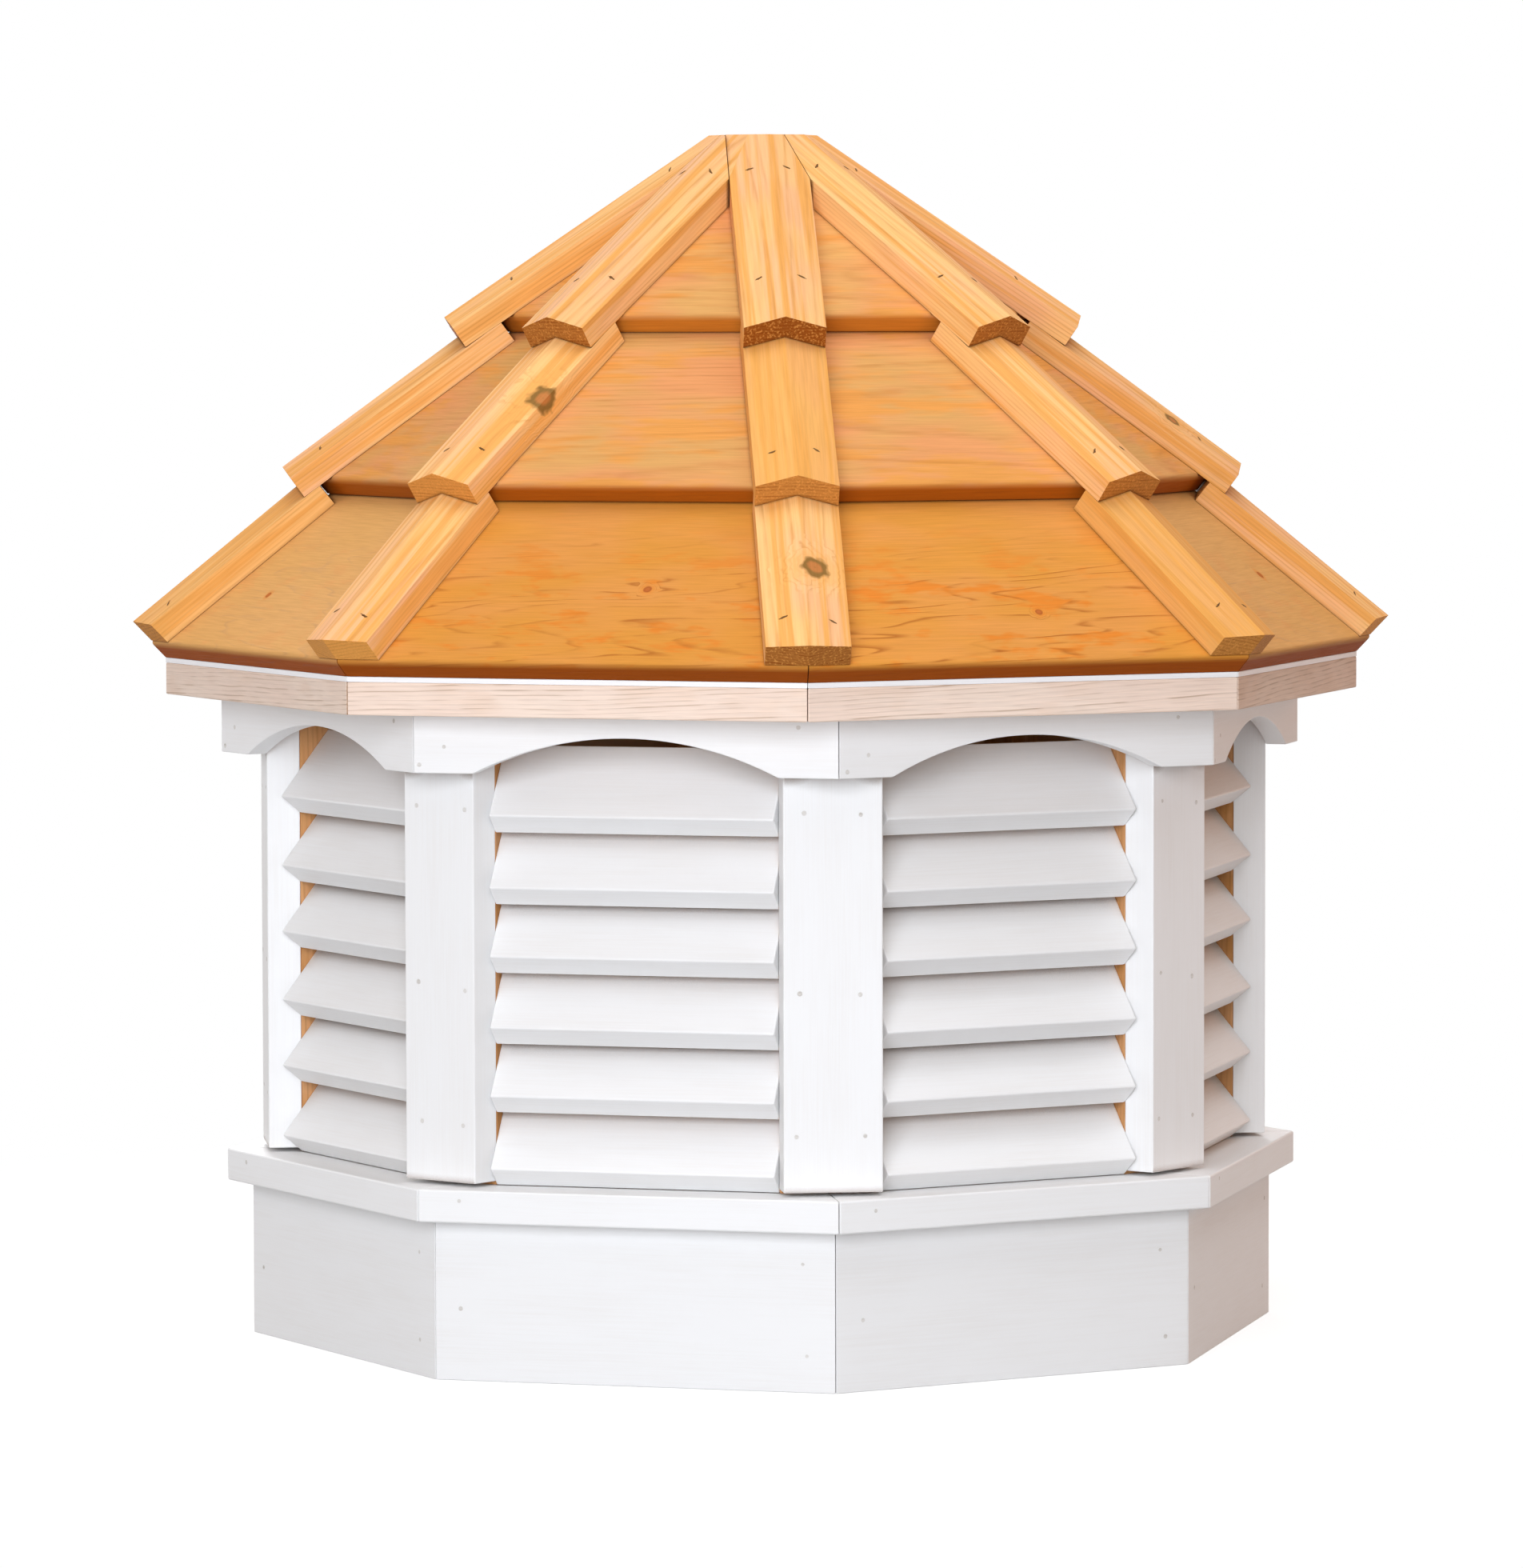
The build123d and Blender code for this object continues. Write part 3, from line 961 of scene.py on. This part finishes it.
    def on_cap(self, hip: Matrix, across: float, up: float) -> Matrix:
        """A seat on the top of a cap.

        Args:
            hip: Axes on its hip.
            across: Distance anticlockwise from the hip.
            up: Distance up the hip from the nosing.

        Returns:
            The seat, its third axis square to the cap's face.
        """
        fall = self.cap_fall / self.half_cap
        off = self.cap_ridge - abs(across) * fall
        lean = Matrix.Rotation(atan(fall) * (1 if across > 0 else -1), 4, "Y")
        return hip @ Matrix.Translation((across, up, off)) @ lean

    def add_crown(self, shape: bmesh.types.BMesh, seat: Matrix) -> None:
        """Add a staple's crown: a half-round wire that dips into the wood at both ends.

        Args:
            shape: The mesh to add to.
            seat: Its place on the cap.
        """
        rings = [
            [
                seat @ Vector((
                    share * self.crown_length / 2,
                    self.crown_width / 2 * east,
                    (rise - 0.25 + 0.45 * north) * MM,
                ))
                for east, north in round_turns(8)
            ]
            for share, rise in self.crown
        ]
        add_rings(shape, rings)

    def add_bruise(self, shape: bmesh.types.BMesh, seat: Matrix, chance: random.Random) -> None:
        """Add the crushed wood round a staple: a thin ragged lens.

        Args:
            shape: The mesh to add to.
            seat: The staple's place.
            chance: Source of the raggedness.
        """
        ragged = [chance.uniform(0.55, 1.35) for _ in range(16)]
        length, width = 0.62 * self.crown_length, 1.4 * self.crown_width
        rings = [
            [
                seat @ Vector((share * edge * length * east, share * edge * width * north, rise * MM))
                for edge, (east, north) in zip(ragged, round_turns(len(ragged)))
            ]
            for share, rise in self.bruise
        ]
        add_rings(shape, rings)


@dataclass(frozen=True)
class StapleSteel:
    """Galvanised staple wire, gone dull: small grey glints in the dark wood."""

    bright: str = "7A5A34"
    dull: str = "4A3414"

    def material(self) -> bpy.types.Material:
        """Build the wire's material."""
        made, tree, shader = new_material("galvanised_wire")
        place = add_node(tree, "TexCoord").outputs["Object"]
        spots = add_node(tree, "TexNoise", {"Vector": place, "Scale": 900.0, "Detail": 2.0})
        colour = add_node(tree, "MixRGB", [spots, self.bright, self.dull])
        rough = add_node(tree, "MapRange", {"Value": spots, "To Min": 0.4, "To Max": 0.65})
        connect(tree, shader, {"Base Color": colour, "Roughness": rough})
        shader.inputs["Metallic"].default_value = 0.6
        return made


@dataclass(frozen=True)
class Roof:
    """The roof unit: three courses of boards, chevron caps on the hips, rafters and kingpost."""

    lower: Course = Course(515.94 * MM, 627.42 * MM, radians(41.6))
    middle: Course = Course(378.8 * MM, 776.0 * MM, radians(38.5))
    upper: Course = Course(226.3 * MM, 922.5 * MM, radians(36.4))

    def cap_knots(self) -> dict[str, tuple[Knot, ...]]:
        """Give the knots of each course's caps.

        Returns:
            Knots by course. Each comes from its hip, across, up the hip and off it.
        """
        spots = {
            "lower": (
                (6, 10, 103, 20, 12), (4, -18, 37, 18, 7), (1, -14, 70, 19, 9), (2, 12, 120, 20, 8),
            ),
            "middle": ((5, 34, 107, 14, 14), (0, -20, 60, 17, 8), (3, 24, 100, 16, 8)),
            "upper": ((1, 20, 120, 17, 7), (3, -15, 70, 19, 6)),
        }
        found = {}
        for name, rows in spots.items():
            course = getattr(self, name)
            found[name] = tuple(
                Knot(course.on_hip(hip) @ (Vector((across, up, off)) * MM), radius * MM)
                for hip, across, up, off, radius in rows
            )
        return found

    def board_knots(self) -> tuple[Knot, ...]:
        """Give the pin knots of the lower course's boards."""
        rows = (
            (6, 46, 92, 4), (5, -60, 70, 3.5), (7, 30, 60, 3.5),
            (0, 70, 90, 4.5), (2, -40, 60, 4), (3, 20, 110, 5),
        )
        found = []
        for bay, across, up, radius in rows:
            heart = self.lower.on_board(bay) @ (Vector((across, up, 0)) * MM)
            found.append(Knot(heart, radius * MM, "B4622A", "A85A24"))
        return tuple(found)

    def dress(self, nodes: dict[str, bpy.types.Object]) -> None:
        """Give the boards, caps and hidden timbers their finishes.

        Args:
            nodes: The frame's objects by name.
        """
        woods = {
            "lower": (CEDAR_FLAT, replace(YELLOW_PINE, seed=1212)),
            "middle": (CEDAR_STRAIGHT, replace(YELLOW_PINE, seed=64)),
            "upper": (CEDAR_PALE_EDGED, replace(YELLOW_PINE, seed=2378)),
        }
        hips = ROOF_TURN + HALF_BAY
        knots = self.cap_knots()
        for name, (wood, pine) in woods.items():
            course = getattr(self, name)
            pins = self.board_knots() if name == "lower" else ()
            boards = wood.material(course.boards(), pins)
            dress(nodes[f"{name}_roof_boards"], boards, 0.4 * MM)
            caps = pine.material(BoardSpace(hips, course.hip_slope, Lie.DOWN), knots[name])
            dress(nodes[f"{name}_hip_caps"], caps, 0.35 * MM)
        rafters = FRAMING.material(BoardSpace(hips, self.middle.hip_slope, Lie.DOWN))
        dress(nodes["hip_rafters"], rafters, 1.5 * MM)
        dress(nodes["kingpost"], FRAMING.material(BoardSpace(hips, 0.0, Lie.UPRIGHT)), 1.5 * MM)
        LOG.info("roof dressed")


@dataclass(frozen=True)
class Body:
    """The body: skirt, sill, posts, louvres, valances and the eave plate on them."""

    louvre_slope: float = radians(51)

    def dress(self, nodes: dict[str, bpy.types.Object]) -> None:
        """Give the painted boards and the framing their finishes.

        Args:
            nodes: The frame's objects by name.
        """
        bays = WHITE_PAINT.material(BoardSpace(0.0, 0.0, Lie.ROUND))
        # The posts' paint carries a painted shade under the valances.
        posts = replace(WHITE_PAINT, lee_shade="7A5A3E")
        corners = posts.material(BoardSpace(HALF_BAY, 0.0, Lie.UPRIGHT))
        # The slats' paint darkens deep between them: painted shade.
        brushed = replace(WHITE_PAINT, gap_shade="5E4A38")
        blades = brushed.material(BoardSpace(0.0, self.louvre_slope, Lie.ROUND))
        for number in range(1, SIDES + 1):
            dress(nodes[f"skirt_panel_{number}"], bays, 0.8 * MM)
            dress(nodes[f"valance_{number}"], bays, 0.8 * MM)
            dress(nodes[f"corner_post_{number}"], corners, 1.2 * MM)
            dress(nodes[f"louvre_bank_{number}"], blades, 1.5 * MM)
        dress(nodes["sill_boards"], bays, 1.5 * MM)
        studs = FRAMING.material(BoardSpace(HALF_BAY, 0.0, Lie.UPRIGHT))
        dress(nodes["corner_studs"], studs, 1.5 * MM)
        dress(nodes["corner_cleats"], studs, 1.5 * MM)
        turned = BoardSpace(ROOF_TURN, 0.0, Lie.ROUND)
        dress(nodes["eave_plate"], BARE_SPRUCE.material(turned), 1.2 * MM)
        dress(nodes["drip_edge"], STRIP_PAINT.material(turned), 0.4 * MM)
        LOG.info("body dressed")


@dataclass(frozen=True)
class Lamp:
    """A large soft square lamp that faces the object.

    Attributes:
        name: Of the lamp.
        bearing: Degrees anticlockwise from +X.
        rise: Degrees above level.
        size: Of its square.
        power: In watts.
        colour: Of its light.
        reach: Its distance from the point it faces.
        aim: Height of that point on the axis.
    """

    name: str
    bearing: float
    rise: float
    size: float
    power: float
    colour: str = "F1F7FF"
    reach: float = 5.0
    aim: float = 0.5

    def hang(self) -> None:
        """Put the lamp in its place."""
        data = bpy.data.lights.new(self.name, "AREA")
        data.shape = "SQUARE"
        data.size = self.size
        data.energy = self.power
        data.color = linear(self.colour)[:3]
        lamp = bpy.data.objects.new(self.name, data)
        turn, rise = radians(self.bearing), radians(self.rise)
        level = self.reach * cos(rise)
        target = Vector((0.0, 0.0, self.aim))
        spot = target + Vector((level * cos(turn), level * sin(turn), self.reach * sin(rise)))
        lamp.location = spot
        lamp.rotation_euler = (target - spot).to_track_quat("-Z", "Y").to_euler()
        bpy.context.collection.objects.link(lamp)


# Cool soft light from in front, above, left and behind, and a weak warm one at the right rear.
LAMPS = (
    Lamp("key", 278, 10, 2.6, 184),
    Lamp("top_front", 280, 55, 3.0, 26),
    Lamp("overhead", 250, 84, 3.0, 116),
    Lamp("left_fill", 184, 12, 2.5, 49),
    Lamp("right_top", 350, 60, 2.5, 54),
    Lamp("warm_side", 45, 10, 2.0, 34, "FFA05C"),
    Lamp("back_fill", 115, 15, 2.8, 105, "F8FAFF"),
)


@dataclass(frozen=True)
class Studio:
    """The pale floor, the lamps, the white surround and the camera.

    Attributes:
        distance: Of the camera from the axis.
        height: Of the camera.
        heading: Turn of the camera's right from +X.
        bearing: Of the camera from -Y, towards +X.
        fall: Tilt of its view below level.
        roll: Turn about its view.
        lens: Focal length in millimetres.
        sensor: Width of the sensor in millimetres.
        fill: Colour of the surround's soft light.
        fill_strength: Of that light.
        floor: Colour of the floor, which the object's shadow falls on.
        floor_glow: What the floor adds to that for the eye, so that it looks nearly white.
        floor_fade: Distances from the axis over which the floor turns to the white surround.
    """

    distance: float = 6.88939
    height: float = 0.92257
    heading: float = radians(15.186)
    bearing: float = radians(15.163)
    fall: float = 0.0620518
    roll: float = -0.0023
    lens: float = 173.5
    sensor: float = 36.0
    fill: str = "FFDCB8"
    fill_strength: float = 0.24
    floor: str = "A4A4A4"
    floor_glow: float = 0.76
    floor_fade: tuple[float, float] = (0.7, 1.6)

    def place_camera(self) -> None:
        """Put the camera where the view asks."""
        data = bpy.data.cameras.new("camera")
        data.lens = self.lens
        data.sensor_width = self.sensor
        data.sensor_fit = "AUTO"
        data.clip_end = 200.0
        camera = bpy.data.objects.new("camera", data)
        turn = (
            Matrix.Rotation(self.heading, 4, "Z")
            @ Matrix.Rotation(pi / 2 - self.fall, 4, "X")
            @ Matrix.Rotation(self.roll, 4, "Z")
        )
        level = Vector((sin(self.bearing), -cos(self.bearing), 0.0)) * self.distance
        stand = level + Vector((0.0, 0.0, self.height))
        camera.matrix_world = Matrix.Translation(stand) @ turn
        bpy.context.collection.objects.link(camera)
        bpy.context.scene.camera = camera

    def build(self) -> None:
        """Place the camera, hang the lamps, and build the surround and the floor."""
        self.place_camera()
        bpy.context.scene.view_settings.view_transform = "Standard"
        for lamp in LAMPS:
            lamp.hang()
        self.make_world()
        self.make_floor()

    @staticmethod
    def seen_directly(tree: Tree) -> Node:
        """Add nodes that are one for rays from the eye, mirrors and glass, else nothing.

        Args:
            tree: The tree to add to.

        Returns:
            The last of those nodes.
        """
        rays = add_node(tree, "LightPath")
        either = add_node(
            tree, "Math",
            [rays.outputs["Is Camera Ray"], rays.outputs["Is Glossy Ray"]],
            operation="MAXIMUM",
        )
        return add_node(
            tree, "Math", [either, rays.outputs["Is Transmission Ray"]], operation="MAXIMUM"
        )

    def make_world(self) -> None:
        """Give the world a soft fill light and a white look."""
        world = bpy.data.worlds.new("surround")
        world.use_nodes = True
        tree = world.node_tree
        tree.nodes.clear()
        fill = add_node(tree, "Background", {"Color": self.fill, "Strength": self.fill_strength})
        white = add_node(tree, "Background", {"Color": "FFFFFF", "Strength": 1.0})
        mixed = add_node(tree, "MixShader", [self.seen_directly(tree), fill, white])
        add_node(tree, "OutputWorld", {"Surface": mixed})
        bpy.context.scene.world = world

    def make_floor(self) -> None:
        """Lay a pale floor that shows the object's shadow and fades into the white surround."""
        mesh = bpy.data.meshes.new("floor")
        shape = bmesh.new()
        bmesh.ops.create_grid(shape, x_segments=8, y_segments=8, size=60.0)
        shape.to_mesh(mesh)
        shape.free()
        floor = bpy.data.objects.new("floor", mesh)
        bpy.context.collection.objects.link(floor)
        made = bpy.data.materials.new("pale_floor")
        made.use_nodes = True
        tree = made.node_tree
        tree.nodes.clear()
        matt = add_node(tree, "BsdfDiffuse", {"Color": self.floor})
        glow = add_node(tree, "Emission", {"Color": "FFFFFF", "Strength": self.floor_glow})
        shown = add_node(tree, "AddShader", [matt, glow])
        white = add_node(tree, "Emission", {"Color": "FFFFFF", "Strength": 1.0})
        place = add_node(tree, "TexCoord").outputs["Object"]
        away = add_node(tree, "VectorMath", [place], operation="LENGTH").outputs["Value"]
        start, end = self.floor_fade
        far = add_node(tree, "MapRange", [away, start, end], interpolation_type="SMOOTHSTEP")
        faded = add_node(tree, "MixShader", [far, shown, white])
        mixed = add_node(tree, "MixShader", [self.seen_directly(tree), matt, faded])
        add_node(tree, "OutputMaterial", {"Surface": mixed})
        mesh.materials.append(made)


def main() -> None:
    """Load the frame, dress it, add the loose pieces and set up the studio."""
    logging.basicConfig(level=logging.INFO, format="%(name)s: %(message)s")
    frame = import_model()
    Body().dress(frame["nodes"])
    roof = Roof()
    roof.dress(frame["nodes"])
    fastenings = Fastenings()
    fastenings.fill_nail_holes()
    fastenings.drive_staples(roof)
    Studio().build()


if __name__ == "__main__":
    main()
